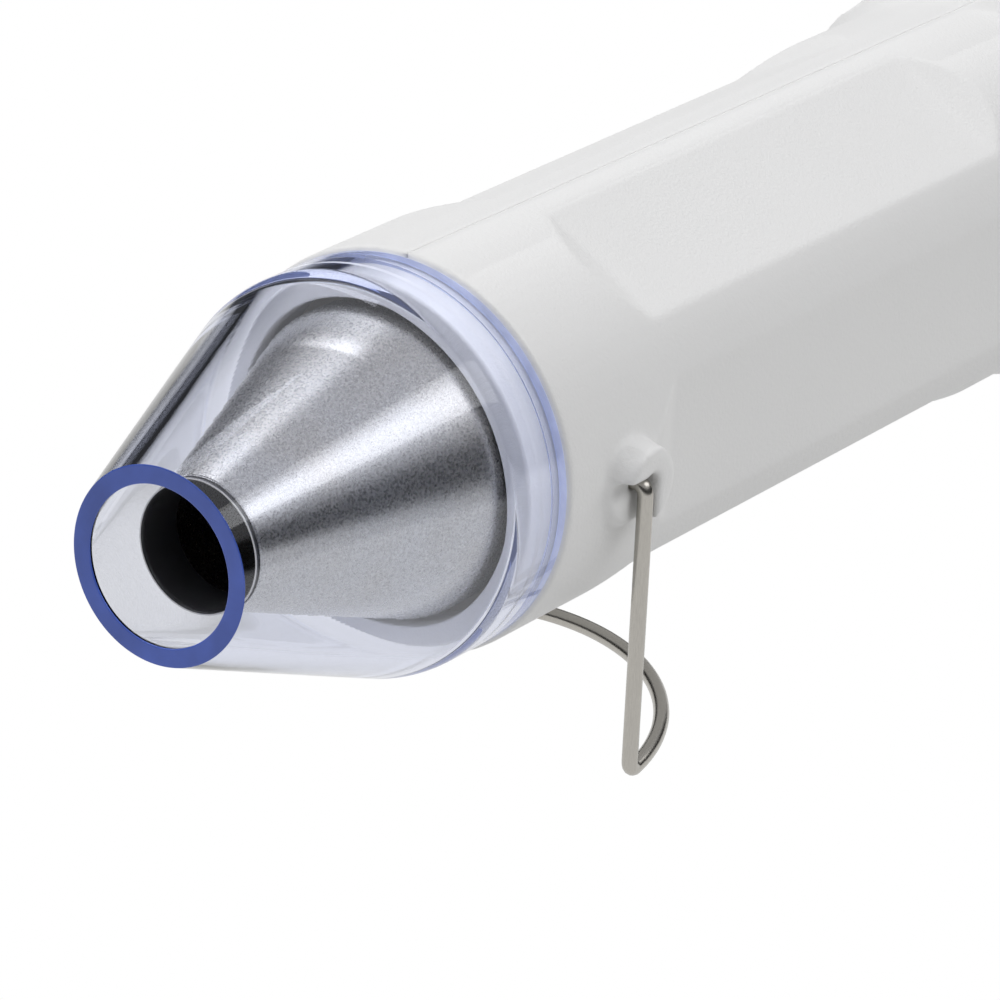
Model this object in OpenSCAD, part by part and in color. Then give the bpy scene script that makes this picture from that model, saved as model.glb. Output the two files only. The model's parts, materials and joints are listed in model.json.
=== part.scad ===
// Embossing heat tool: a slim hot air tool with a clear nozzle guard and a folding wire stand.
// Each piece is drawn in a bench frame, with the tool on its nose: z runs from the nose to the tail,
// x points to the top of the tool and y to its left side. laid_down() sets it on its stand.

/* [Body] */
// Outer diameter of the round body
body_d = 46; // [44:0.5:50]
// Wall of the two shells
shell_wall = 2.2; // [1.8:0.1:2.6]
// Nose to the front edge of the body
body_front = 42; // [41:0.5:46]
// Length of the neck that the guard snaps over
neck_len = 5.5; // [4.5:0.25:7]
// Wall of the neck
neck_wall = 1.6; // [1.4:0.1:1.8]
// Wall at the front end of the neck
bulkhead_wall = 2; // [1.5:0.25:2.5]
// Rise of the tail housing above the round body
tail_flare = 2.5; // [1.5:0.25:4]
// Front of the motor to the step of the tail housing
step_inset = 15.2; // [14.8:0.2:17]
// Length of the step up to the tail housing
tail_step_len = 8.5; // [6:0.5:10]
// Height of the flat land on top of the tail above the round body
land_rise = 0.15; // [0.1:0.05:0.4]

/* [Grip panels] */
// Number of flat grip panels
grip_count = 6; // [5:1:7]
// Depth of a panel below the round body
grip_depth = 1.64; // [1.2:0.02:1.8]
// Front edge of the body to the panels
grip_back = 17.5; // [16:0.5:20]
// Panels to the step of the tail housing
grip_rear = 15.5; // [15:0.5:19]
// Slope of the ramps at the panel ends, in degrees
grip_ramp_deg = 20; // [18:1:35]

/* [Nozzle guard] */
// Outer diameter of the guard at its mouth
mouth_d = 21.8; // [20.6:0.2:24]
// Wall of the clear guard
guard_wall = 2.1; // [1.6:0.1:2.2]
// Length of the guard's cone
guard_cone_len = 33; // [30:0.5:33.5]
// How far the guard lies below the surface of the body
guard_step = 0.4; // [0.2:0.05:0.6]
// Rounding between the guard's cone and its skirt
guard_round = 6; // [3:0.5:8]
// Straight length of the mouth before the cone opens
mouth_land = 0.5; // [0.3:0.1:0.8]
// Height of the snap bead on the neck
bead_height = 0.25; // [0.15:0.05:0.35]
// Width of the snap bead on the neck
bead_width = 1.6; // [1.2:0.1:2]

/* [Hot end] */
// Mouth of the guard to the end of the outlet tip
tip_recess = 6.5; // [5.5:0.25:8]
// Free length of the outlet tip in front of the nozzle
tip_out = 0.7; // [0.7:0.1:1.5]
// Length of the outlet tip
tip_len = 5.9; // [5:0.1:7]
// Outer diameter of the outlet tip
tip_d = 14.4; // [13:0.2:15]
// Wall of the outlet tip
tip_wall = 0.5; // [0.4:0.05:0.7]
// Space between the steel nozzle and the inside of the body
nozzle_room = 3.6; // [3.3:0.1:4.5]
// Length of the nozzle's cone
nozzle_cone_len = 29.1; // [28:0.1:30]
// Length of the nozzle's straight skirt
nozzle_skirt_len = 16; // [15:0.5:17]
// Thickness of the sheet steel
sheet_t = 0.6; // [0.5:0.05:0.8]
// Length of the heater barrel
barrel_len = 70; // [66:0.5:71]
// Overlap of the barrel and the nozzle
barrel_lap = 6; // [5:0.5:8]
// Thickness of the mica sheet
mica_t = 0.6; // [0.4:0.1:0.8]
// Thickness of the heater winding
coil_t = 1.4; // [1:0.1:1.6]

/* [Wire stand] */
// Wire diameter
wire_d = 1.8; // [1.6:0.05:2]
// Surface of the body to the centre of a leg
leg_out = 2; // [1.75:0.25:4]
// Pivot to the corner of the foot
leg_len = 34.5; // [32:0.5:38]
// Lean of the legs towards the tail, in degrees
leg_lean_deg = 2.7; // [0:0.1:4]
// Turn of the wire at each foot, in degrees
foot_turn_deg = 94.6; // [90:0.2:98]
// Inward turn of the wire where the cross arc begins, in degrees
foot_toe_deg = 5; // [1:0.5:8]
// Bend radius at the wire's centre
wire_bend_r = 1.2; // [1.1:0.05:1.5]

/* [Pivot lugs] */
// Front edge of the body to the pivot of the stand
lug_back = 11.8; // [11:0.2:13]
// Diameter of a lug at its root
lug_root_d = 10.4; // [9.6:0.2:11]
// Diameter of a lug at its face
lug_face_d = 8.6; // [8:0.2:9.4]
// Face of a lug beyond the centre of the leg
lug_reach = 1; // [0.9:0.05:1.4]
// Clearance of the wire in its pivot hole
pivot_clear = 0.08; // [0.05:0.01:0.1]

/* [Fan] */
// Clearance of the fan in its shroud
fan_clear = 0.75; // [0.5:0.05:1.5]
// Length of the fan's hub and blades
fan_len = 10; // [9:0.5:10.5]
// Number of fan blades
blade_count = 7; // [5:1:9]
// Pitch of the fan blades, in degrees
blade_pitch_deg = 35; // [25:1:45]
// Diameter of the fan's hub
hub_d = 13; // [11:0.5:15]
// Number of guide vanes
vane_count = 5; // [3:1:7]
// Length of the guide vanes
vane_len = 8; // [7:0.5:8.5]

/* [Motor] */
// Outer diameter of the motor
motor_d = 27.7; // [26:0.1:28]
// Length of the motor can
can_len = 27.4; // [26:0.2:28]
// Length of the motor's end cap
endcap_len = 5; // [4:0.25:5.5]
// Shaft diameter
shaft_d = 2.3; // [2:0.1:3]

/* [Switch] */
// Rear of the motor to the switch housing
switch_gap = 11.3; // [10.5:0.1:15]
// Length of the switch flange
switch_flange_len = 21.4; // [20.8:0.2:22]
// Width of the switch flange
switch_flange_w = 15.2; // [14.6:0.2:16]
// Length of the switch housing below its flange
switch_len = 19; // [18.6:0.1:19.4]
// Width of the switch housing below its flange
switch_w = 12.8; // [12.4:0.1:13.4]
// Swing of the rocker to each side, in degrees
rocker_swing_deg = 8; // [5:0.5:9]

/* [Tail] */
// Switch housing to the end cap
cap_gap = 16; // [15:0.5:20]
// Length of the end cap
cap_len = 13; // [12:0.5:14]
// Rounding of the rear edge
tail_round = 4; // [3:0.25:5]
// Bore of the cord inlet
cord_bore_d = 6.8; // [6:0.1:7.4]
// Number of radial air slots in the end cap
cap_slot_count = 14; // [10:1:16]
// Number of air slots in each side of the tail
side_slot_count = 5; // [3:2:5]
// Width of every air slot
slot_w = 1.8; // [1.4:0.1:2]

/* [Hidden] */
$fn = 96;

// Facets in a quarter of a small rounding
round_steps = 8;
// Overrun of every cut past the surface that it opens
over = 1;
// Clearance round a fixed piece in its seat
fit = 0.1;
// Clearance along a fixed piece between its two stops
slide = 0.15;
// Clearance of a piece pressed on a shaft, and half the swell where two bends of the wire meet
press = 0.03;
// Free gap between a moving piece and what it passes
gap = 0.3;

// Radii of the body and of its cavity
body_r = body_d / 2;
tail_r = body_r + tail_flare;
tail_d = 2 * tail_r;
cavity_r = body_r - shell_wall;
tail_cavity_r = tail_r - shell_wall;
flat_r = body_r - grip_depth;
panel_cavity_r = flat_r - shell_wall;
land_x = body_r + land_rise;
land_inside_x = land_x - shell_wall;
// Edge rounding of the body's front rim
rim_round = 0.5;

// Neck and grip panels
neck_front = body_front - neck_len;
bulkhead_back = neck_front + bulkhead_wall;
grip_front = body_front + grip_back;
grip_ramp_len = grip_depth / tan(grip_ramp_deg);
// Height of the tool that cuts a panel, above its floor
grip_cut_h = 4;

// Guard and neck
mouth_r = mouth_d / 2;
skirt_r = body_r - guard_step;
skirt_inside_r = skirt_r - guard_wall;
neck_r = skirt_inside_r - 2 * fit;
neck_inside_r = neck_r - neck_wall;
guard_slope_deg = atan((skirt_r - mouth_r) / guard_cone_len);
guard_back = body_front - fit;
bead_place = body_front - neck_len / 2;

// Hot end
tip_r = tip_d / 2;
throat = tip_recess + tip_out;
tip_back = tip_recess + tip_len;
// Length of the nozzle's straight throat, which holds the tip
throat_len = 0.8;
// Length of the collar on the tip, in front of the nozzle
tip_collar_len = 0.6;
throat_r = tip_r + fit + sheet_t;
nozzle_r = cavity_r - nozzle_room;
// Rounding of the nozzle's shoulder
shoulder_round = 6;
nozzle_corner = throat + nozzle_cone_len;
nozzle_back = nozzle_corner + nozzle_skirt_len;
nozzle_slope_deg = atan((nozzle_r - throat_r) / (nozzle_cone_len - throat_len));
// Free gap between the nozzle and the neck's bulkhead
nozzle_gap = 0.9;
barrel_front = nozzle_back - barrel_lap;
barrel_back = barrel_front + barrel_len;
barrel_r = nozzle_r - sheet_t - fit;
barrel_inside_r = barrel_r - sheet_t;
sleeve_r = barrel_inside_r - fit;
sleeve_inside_r = sleeve_r - mica_t;
// Inset of the mica sleeve from each end of the barrel
sleeve_inset = 1;
// Inset of the mica cross from the front and from the rear of the barrel
cross_inset_front = 4;
cross_inset_rear = 6;
cross_front = barrel_front + cross_inset_front;
cross_back = barrel_back - cross_inset_rear;
// Length of the wide ears at each end of the cross
cross_ear = 4;
cross_ear_r = sleeve_inside_r - fit;
coil_r = cross_ear_r - gap;
coil_inside_r = coil_r - coil_t;
cross_r = coil_inside_r - fit;

// Rings that carry the barrel, and the ribs that hold them
ring_t = 3;
rib_t = 1.5;
// Front edge of the body to the seat of the front ring
ring_seat_back = 2.8;
front_ring = body_front + ring_seat_back;
// End of the barrel to the rear ring
ring_inset = 6;
rear_ring = barrel_back - ring_inset - ring_t;
// Height of a rib that keeps a ring in place
rib_height = 1.2;

// Bimetal cut-out and fuse on the mica cross
cutout_t = 3.4;
cutout_w = 7;
cutout_len = 12;
// Distance of the cut-out and of the fuse from the middle of the cross
cutout_off = 1.6;
cutout_back = cross_back - cross_ear;
fuse_d = 3.4;
fuse_len = 11;
fuse_off = 5;

// Air guide, fan and shroud
// Rear of the barrel to the air guide
guide_gap = 2;
shroud_front = barrel_back + guide_gap;
shroud_r = panel_cavity_r - fit;
shroud_wall = 1.4;
shroud_inside_r = shroud_r - shroud_wall;
vane_t = 1.2;
hub_r = hub_d / 2;
// Wall of the fan's hub and of its front face
hub_wall = 1.4;
// Sleeve of the fan on the shaft
fan_sleeve_r = shaft_d;
fan_r = shroud_inside_r - fan_clear;
// Guide vanes to the fan
fan_gap = 1.5;
fan_front = shroud_front + vane_len + fan_gap;
fan_back = fan_front + fan_len;
blade_t = 1;
// Rim of the shroud behind the fan
shroud_rim = 1;
shroud_back = fan_back + shroud_rim;

// Motor
motor_r = motor_d / 2;
shaft_r = shaft_d / 2;
// Rear of the fan to the motor
motor_gap = 5.5;
motor_front = fan_back + motor_gap;
can_wall = 1.1;
can_back = motor_front + can_len;
motor_back = can_back + endcap_len;
// Bearing boss on each end of the motor
boss_r = 4.6;
boss_len = 1.8;
bush_r = 3;
bush_len = 3;
bush_clear = 0.03;
// Part of the end cap inside the can
endcap_lap = 2;
magnet_t = 1.8;
// Front and rear end of the can to the magnets
magnet_inset = 5;
magnet_rear = 5.4;
magnet_len = can_len - magnet_inset - magnet_rear;
magnet_span_deg = 130;
// Length of the magnets beyond the armature, both ends together
armature_short = 3;
armature_r = motor_r - can_wall - magnet_t - 2 * gap - fit;
armature_len = magnet_len - armature_short;
pole_count = 3;
pole_gap_w = 2.4;
pole_gap_depth = 4;
commutator_r = 3.6;
commutator_len = 4;
// Shaft beyond the rear boss, and in front of the fan's front face
shaft_tail = 1;
shaft_nose = 0.6;

// Stations of the body and of the tail, behind the motor's front
tail_step = motor_front + step_inset;
tail_front = tail_step + tail_step_len;
grip_end = tail_step - grip_rear;
switch_place = motor_back + switch_gap + switch_len / 2;
cap_front = switch_place + switch_len / 2 + cap_gap;
tool_length = cap_front + cap_len;

// Motor mount
mount_wall = 1.4;
mount_inside_r = motor_r + fit;
mount_r = mount_inside_r + mount_wall;
mount_fins = 4;
mount_fin_t = 1.6;
mount_fin_len = 3.6;
// Front face of the motor to the mount
mount_inset = 0.6;
// Rear fins of the motor mount to the step of the tail housing
mount_rear = 1.7;
mount_front = motor_front + mount_inset;
mount_back = tail_step - mount_rear;

// Terminals, board and diodes
terminal_t = 0.5;
terminal_w = 2.8;
terminal_off = 8;
terminal_drop = 2;
// Terminal beyond the board
terminal_tail = 0.8;
board_gap = 4.4;
board_t = 1.6;
board_w = 22;
board_top_x = 3.5;
board_bottom_x = -11;
board_front = motor_back + board_gap;
board_back = board_front + board_t;
diode_r = 1.35;
diode_len = 5.2;
lead_r = 0.35;
// Lead beyond each end of a diode
lead_len = 1.2;
diode_y = 4.2;
// Top edge of the board to the first row of diodes, and from row to row
diode_inset = 7.9;
diode_pitch = 4;
diode_rows = 2;

// Switch on the flat land
flange_t = 1.8;
switch_depth = 16;
switch_wall = 0.8;
// Solid floor of the switch housing
switch_floor = 5.5;
// Pivot of the rocker below the flat land
rocker_drop = 0.8;
rocker_pivot_x = land_x - rocker_drop;
rocker_half = 7.8;
rocker_top = 4.2;
rocker_dip = 2.6;
rocker_low = 5;
rocker_low_half = 3;
rocker_shoulder = 1;
rocker_pin_r = 1.1;
rocker_pin_clear = 0.06;
switch_blade_t = 0.8;
switch_blade_w = 4.8;
switch_blade_out = 7;
switch_blade_off = 4;

// End cap and cord gland
spigot_len = 5;
spigot_wall = 2;
spigot_r = tail_cavity_r - fit;
// Rib of the shells in the groove of the spigot
catch_height = 1;
catch_t = 1.5;
catch_front = cap_front - spigot_len / 2 - catch_t / 2;
gland_wall = 1.8;
gland_r = cord_bore_d / 2 + gland_wall;
gland_flange = 1.6;
gland_flange_r = gland_r + gland_flange;
slot_inner_r = gland_flange_r + 2 * gland_flange;
// Air slots of the cap end this far inside its rounding
slot_rim = 2;
slot_outer_r = tail_r - tail_round - slot_rim;
side_slot_len = 18;
side_slot_pitch = 5.2;
side_slot_front = switch_place - switch_len / 2 + slot_w;

// Screws that join the shells, from the right side
screw_boss_r = 4;
screw_r = 1.3;
screw_pilot_clear = 0.05;
screw_head_r = 2.6;
screw_head_len = 1.9;
screw_seat = 11;
screw_grip = 9;
screw_recess_w = 0.6;
// Rear of the motor can to the front pair of screws
screw_inset = 4.4;
screw_front_z = can_back - screw_inset;
screw_rear_z = cap_front - spigot_len - screw_boss_r - gap;
// Free gap between a screw boss and the motor can
screw_boss_gap = 0.7;
screw_x = motor_r + screw_boss_r + screw_boss_gap;

// Wire stand
wire_r = wire_d / 2;
leg_y = body_r + leg_out;
lug_z = body_front + lug_back;
// The foot bend turns out of the leg's line into the plane of the cross arc
foot_bend_deg = acos(cos(foot_turn_deg) * cos(foot_toe_deg));
foot_plane_deg = atan(tan(foot_toe_deg) / sin(foot_turn_deg));
foot_run = wire_bend_r * tan(foot_bend_deg / 2);
arc_r = (leg_y - foot_run * sin(foot_toe_deg)) / cos(foot_toe_deg);
arc_deg = 180 - 2 * foot_toe_deg;
// The arc starts this far past the foot bend, inside the ball that joins the two
join_deg = 0.5;
leg_end = leg_len - foot_run;
lug_face = leg_y + lug_reach;
lug_root = cavity_r + shell_wall / 2;
pin_end = cavity_r - fit;
pocket_floor = leg_y - wire_bend_r - gap;
snap_floor = leg_y - wire_r - gap;
channel_half = wire_r + gap;

// Resting pose: the feet and the lower rear edge stand on the same table
foot_back = wire_bend_r * cos(foot_plane_deg);
foot_z = lug_z + leg_end * sin(leg_lean_deg) + foot_back * cos(leg_lean_deg);
foot_x = -leg_end * cos(leg_lean_deg) + foot_back * sin(leg_lean_deg);
heel_z = tool_length - tail_round;
heel_x = -(tail_r - tail_round);
foot_r = wire_bend_r + wire_r;
stance = norm([heel_z - foot_z, heel_x - foot_x]);
tilt_deg = atan2(heel_x - foot_x, heel_z - foot_z) + asin((foot_r - tail_round) / stance);
lift = foot_r + foot_z * sin(tilt_deg) - foot_x * cos(tilt_deg);
nose_reach = mouth_r * sin(tilt_deg);
tail_reach = (tool_length + gland_flange) * cos(tilt_deg) + gland_flange_r * sin(tilt_deg);
shift = (tail_reach - nose_reach) / 2;

// Points of an arc of the outline, from angle a to angle b
function arc(r, z, radius, a, b) =
    [for (i = [0:round_steps])
        let (t = a + (b - a) * i / round_steps)
            [r + radius * cos(t), z + radius * sin(t)]];

// Sets the tool on its stand, nose towards +x, its box centred over the origin
module laid_down() {
    translate([shift, 0, lift])
        rotate([0, -90 - tilt_deg, 0])
            children();
}

// Solid of revolution round the tool's axis, from [radius, z] points
module turned(points) {
    rotate_extrude()
        polygon(points);
}

// Round tube along the tool's axis
module ring(outer, inner, front, back) {
    turned([[inner, front], [outer, front], [outer, back], [inner, back]]);
}

// Round rod along the tool's axis
module rod(radius, front, back) {
    translate([0, 0, front])
        cylinder(h = back - front, r = radius);
}

// Block between two corners
module block(low, high) {
    translate(low)
        cube(high - low);
}

// Round rod along y, from y = a to y = b
module cross_rod(radius, x, z, a, b) {
    translate([x, a, z])
        rotate([-90, 0, 0])
            cylinder(h = b - a, r = radius);
}

// The left side as drawn, or its mirror image on the right
module on_side(side) {
    if (side > 0) children();
    else mirror([0, 1, 0]) children();
}

// Panel cutters, sunk below the outer panels by inset
module panel_cutters(inset) {
    floor_r = flat_r - inset;
    cut_run = grip_cut_h / tan(grip_ramp_deg);
    for (i = [0:grip_count - 1])
        rotate([0, 0, 180 / grip_count + 360 * i / grip_count])
            rotate([90, 0, 0])
                linear_extrude(height = body_d, center = true)
                    polygon([[floor_r, grip_front + grip_ramp_len], [floor_r, grip_end - grip_ramp_len],
                        [floor_r + grip_cut_h, grip_end - grip_ramp_len + cut_run],
                        [floor_r + grip_cut_h, grip_front + grip_ramp_len - cut_run]]);
}

// Space above the flat land on top of the tail
module above_land(x, front) {
    block([x, -tail_r, front], [tail_d, tail_r, tool_length + over]);
}

// Outside of the body and the tail, closed and solid
module body_form(end) {
    half_step = tail_step_len / 2;
    step_h = tail_r - body_r;
    step_round = (half_step * half_step + step_h * step_h / 4) / step_h;
    step_deg = asin(half_step / step_round);
    difference() {
        turned(concat(
            [[0, neck_front], [neck_r, neck_front], [neck_r, bead_place - bead_width / 2],
                [neck_r + bead_height, bead_place - bead_width / 4],
                [neck_r + bead_height, bead_place + bead_width / 4],
                [neck_r, bead_place + bead_width / 2], [neck_r, body_front]],
            arc(body_r - rim_round, body_front + rim_round, rim_round, -90, 0),
            arc(body_r + step_round, tail_step, step_round, 180, 180 - step_deg),
            arc(tail_r - step_round, tail_front, step_round, -step_deg, 0),
            [[tail_r, end], [0, end]]));
        above_land(land_x, tail_step);
        panel_cutters(0);
    }
}

// Bosses that take the shell screws, from the right wall to the left wall
module screw_places() {
    for (x = [-screw_x, screw_x])
        for (z = [screw_front_z, screw_rear_z])
            translate([x, 0, z])
                children();
}

// A rib from the shell wall inwards to a radius
module shell_rib(inner, front) {
    ring(tail_d, inner, front, front + rib_t);
}

// Ribs before and behind a seated piece
module seat_ribs(inner, front, back) {
    shell_rib(inner, front - slide - rib_t);
    shell_rib(inner, back + slide);
}

// Space inside the shells, less their panels' backs, ribs and screw bosses
module cavity() {
    difference() {
        turned([[0, bulkhead_back], [neck_inside_r, bulkhead_back], [neck_inside_r, front_ring - slide],
            [cavity_r, front_ring - slide], [cavity_r, tail_step], [tail_cavity_r, tail_front],
            [tail_cavity_r, cap_front + over], [0, cap_front + over]]);
        panel_cutters(shell_wall);
        above_land(land_inside_x, tail_step);
        shell_rib(cavity_r - rib_height, front_ring + ring_t + slide);
        seat_ribs(panel_cavity_r - rib_height, rear_ring, rear_ring + ring_t);
        seat_ribs(panel_cavity_r - rib_height, shroud_front, shroud_back);
        shell_rib(cavity_r - rib_height, mount_front - slide - rib_t);
        shell_rib(cavity_r - rib_height, mount_back + slide);
        ring(tail_d, tail_cavity_r - catch_height, catch_front, catch_front + catch_t);
        screw_places()
            cross_rod(screw_boss_r, 0, 0, -tail_d, tail_d);
    }
}

// Stadium slot through a side wall, its length along z
module wall_slot(x, front, back) {
    block([x - slot_w / 2, 0, front + slot_w / 2], [x + slot_w / 2, tail_r + over, back - slot_w / 2]);
    for (z = [front + slot_w / 2, back - slot_w / 2])
        cross_rod(slot_w / 2, x, z, 0, tail_r + over);
}

// Drafted lug that carries one end of the stand
module lug() {
    translate([0, lug_root, lug_z])
        rotate([-90, 0, 0])
            cylinder(h = lug_face - lug_root, r1 = lug_root_d / 2, r2 = lug_face_d / 2);
}

// Pivot hole, the pocket round it with the channels of the open and the folded leg, and the low
// quarter between them
module lug_cuts() {
    reach = lug_root_d;
    top = lug_face + over;
    cross_rod(wire_r + pivot_clear, 0, lug_z, pin_end - shell_wall, top);
    translate([0, pocket_floor, lug_z])
        rotate([-90, 0, 0])
            linear_extrude(height = top - pocket_floor) {
                circle(r = wire_bend_r + gap);
                translate([-channel_half, 0])
                    square([2 * channel_half, reach]);
                rotate(leg_lean_deg)
                    translate([-reach, -channel_half])
                        square([reach, 2 * channel_half]);
            }
    translate([0, 0, lug_z])
        rotate([0, leg_lean_deg, 0])
            block([-reach, snap_floor, -reach], [0, top, channel_half]);
}

// One half of the body, left for side = 1 and right for side = -1
module shell(side) {
    on_side(side)
        difference() {
            union() {
                difference() {
                    body_form(cap_front);
                    cavity();
                }
                lug();
            }
            rod(nozzle_r + nozzle_gap, neck_front - over, bulkhead_back + over);
            block([-tail_d, -tail_d, 0], [tail_d, 0, tool_length]);
            lug_cuts();
            switch_hole();
            for (i = [0:side_slot_count - 1])
                wall_slot((i - (side_slot_count - 1) / 2) * side_slot_pitch, side_slot_front,
                    side_slot_front + side_slot_len);
            screw_places() {
                if (side > 0) cross_rod(screw_r + screw_pilot_clear, 0, 0, -over, screw_grip + over);
                else {
                    cross_rod(screw_r + fit, 0, 0, -over, screw_seat + over);
                    cross_rod(screw_head_r + 2 * fit, 0, 0, screw_seat, tail_r);
                }
            }
        }
}

// Hole in the flat land that the switch housing drops into
module switch_hole() {
    half_len = switch_len / 2 + fit;
    half_w = switch_w / 2 + fit;
    block([land_inside_x - shell_wall, -half_w, switch_place - half_len],
        [land_x + over, half_w, switch_place + half_len]);
}

module left_shell() {
    color("white")
        shell(1);
}

module right_shell() {
    color("white")
        shell(-1);
}

// Clear cone with a straight skirt that snaps over the neck
module nozzle_guard() {
    side_wall = guard_wall / cos(guard_slope_deg);
    run = guard_round * tan(guard_slope_deg / 2);
    inner_round = guard_round - guard_wall;
    groove = bead_height + fit;
    mouth_inside_r = mouth_r - side_wall + mouth_land * tan(guard_slope_deg);
    color("lightsteelblue", 0.4)
        turned(concat(
            [[mouth_inside_r, 0], [mouth_r, 0]],
            arc(skirt_r - guard_round, guard_cone_len + run, guard_round, -guard_slope_deg, 0),
            [[skirt_r, guard_back], [skirt_inside_r, guard_back],
                [skirt_inside_r, bead_place + bead_width / 2 + fit],
                [skirt_inside_r + groove, bead_place + bead_width / 4 + fit],
                [skirt_inside_r + groove, bead_place - bead_width / 4 - fit],
                [skirt_inside_r, bead_place - bead_width / 2 - fit]],
            arc(skirt_r - guard_round, guard_cone_len + run, inner_round, 0, -guard_slope_deg),
            [[mouth_inside_r, mouth_land]]));
}

// Drawn steel nozzle: a short throat, a cone with a rounded shoulder and a straight skirt
module nozzle_cone() {
    run = shoulder_round * tan(nozzle_slope_deg / 2);
    inner_round = shoulder_round - sheet_t;
    throat_back = throat + throat_len;
    throat_shift = sheet_t * tan(nozzle_slope_deg / 2);
    color("silver")
        turned(concat(
            [[throat_r - sheet_t, throat], [throat_r, throat], [throat_r, throat_back]],
            arc(nozzle_r - shoulder_round, nozzle_corner + run, shoulder_round, -nozzle_slope_deg, 0),
            [[nozzle_r, nozzle_back], [nozzle_r - sheet_t, nozzle_back]],
            arc(nozzle_r - shoulder_round, nozzle_corner + run, inner_round, 0, -nozzle_slope_deg),
            [[throat_r - sheet_t, throat_back + throat_shift]]));
}

// Black outlet tip: a collar stops it against the nozzle's throat, and its rear end is flared inside
module nozzle_tip() {
    color("black")
        turned([[tip_r - tip_wall, tip_recess], [tip_r, tip_recess], [tip_r, throat - tip_collar_len],
            [throat_r, throat - tip_collar_len], [throat_r, throat], [tip_r, throat],
            [tip_r, tip_back - tip_wall], [throat_r, tip_back - tip_wall], [throat_r, tip_back],
            [tip_r - tip_wall, tip_back]]);
}

module heater_barrel() {
    color("gainsboro")
        ring(barrel_r, barrel_inside_r, barrel_front, barrel_back);
}

module barrel_ring_front() {
    color("ivory")
        ring(cavity_r - fit, nozzle_r + fit, front_ring, front_ring + ring_t);
}

module barrel_ring_rear() {
    color("ivory")
        ring(panel_cavity_r - fit, barrel_r + fit, rear_ring, rear_ring + ring_t);
}

module mica_sleeve() {
    color("wheat")
        ring(sleeve_r, sleeve_inside_r, barrel_front + sleeve_inset, barrel_back - sleeve_inset);
}

// Two mica sheets slotted into a cross, with wide ears that stand in the sleeve
module mica_cross() {
    color("tan")
        for (turn = [0, 90])
            rotate([0, 0, turn]) {
                block([-cross_r, -mica_t / 2, cross_front], [cross_r, mica_t / 2, cross_back]);
                for (front = [cross_front, cross_back - cross_ear])
                    block([-cross_ear_r, -mica_t / 2, front], [cross_ear_r, mica_t / 2, front + cross_ear]);
            }
}

// Winding of heater wire round the cross, as one sleeve
module heater_coil() {
    color("dimgray")
        ring(coil_r, coil_inside_r, cross_front + cross_ear + gap, cross_back - cross_ear - gap);
}

module thermal_cutout() {
    color("darkgray")
        block([mica_t / 2, cutout_off, cutout_back - cutout_len],
            [mica_t / 2 + cutout_t, cutout_off + cutout_w, cutout_back]);
}

module thermal_fuse() {
    color("goldenrod")
        translate([-mica_t / 2 - fuse_d / 2 - fit, -fuse_off, 0])
            rod(fuse_d / 2, cutout_back - fuse_len, cutout_back);
}

// Shroud with guide vanes in front of the fan
module air_guide() {
    color("darkslategray") {
        ring(shroud_r, shroud_inside_r, shroud_front, shroud_back);
        rod(hub_r, shroud_front, shroud_front + vane_len);
        for (i = [0:vane_count - 1])
            rotate([0, 0, 360 * i / vane_count])
                block([hub_r - hub_wall, -vane_t / 2, shroud_front],
                    [shroud_r - shroud_wall / 2, vane_t / 2, shroud_front + vane_len]);
    }
}

// Axial fan: a cup-shaped hub on a sleeve, with straight pitched blades
module fan() {
    color("dimgray")
        difference() {
            union() {
                difference() {
                    rod(hub_r, fan_front, fan_back);
                    ring(hub_r - hub_wall, fan_sleeve_r, fan_front + hub_wall, fan_back + over);
                }
                intersection() {
                    ring(fan_r, hub_r - hub_wall / 2, fan_front, fan_back);
                    for (i = [0:blade_count - 1])
                        rotate([0, 0, 360 * i / blade_count])
                            translate([0, 0, (fan_front + fan_back) / 2])
                                rotate([blade_pitch_deg, 0, 0])
                                    block([0, -blade_t / 2, -fan_len], [tail_r, blade_t / 2, fan_len]);
                }
            }
            rod(shaft_r + press, fan_front - over, fan_back + over);
        }
}

// Steel can, closed in front round a bearing boss
module motor_can() {
    color("silver")
        turned([[bush_r + press, motor_front - boss_len], [boss_r, motor_front - boss_len],
            [boss_r, motor_front], [motor_r, motor_front], [motor_r, can_back],
            [motor_r - can_wall, can_back], [motor_r - can_wall, motor_front + can_wall],
            [bush_r + press, motor_front + can_wall]]);
}

module motor_endcap() {
    color("black")
        turned([[bush_r + press, can_back - endcap_lap],
            [motor_r - can_wall - fit, can_back - endcap_lap],
            [motor_r - can_wall - fit, can_back], [motor_r, can_back], [motor_r, motor_back],
            [boss_r, motor_back], [boss_r, motor_back + boss_len],
            [bush_r + press, motor_back + boss_len]]);
}

// Two sintered bushes, one in each bearing boss
module motor_bearings() {
    color("darkgoldenrod")
        for (front = [motor_front - boss_len, motor_back + boss_len - bush_len])
            ring(bush_r, shaft_r + bush_clear, front, front + bush_len);
}

// Two curved magnets in the can
module motor_magnets() {
    outer = motor_r - can_wall - fit;
    color("dimgray")
        for (side = [0, 180])
            rotate([0, 0, side - magnet_span_deg / 2])
                rotate_extrude(angle = magnet_span_deg)
                    translate([outer - magnet_t, motor_front + magnet_inset])
                        square([magnet_t, magnet_len]);
}

// Wound rotor with its pole gaps, and the commutator behind it
module motor_armature() {
    front = motor_front + magnet_inset + (magnet_len - armature_len) / 2;
    back = front + armature_len;
    color("peru")
        difference() {
            union() {
                rod(armature_r, front, back);
                rod(commutator_r, back, back + commutator_len);
            }
            for (i = [0:pole_count - 1])
                rotate([0, 0, 360 * i / pole_count])
                    block([armature_r - pole_gap_depth, -pole_gap_w / 2, front - over],
                        [armature_r + over, pole_gap_w / 2, back + over]);
            rod(shaft_r + press, front - over, back + commutator_len + over);
        }
}

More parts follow.
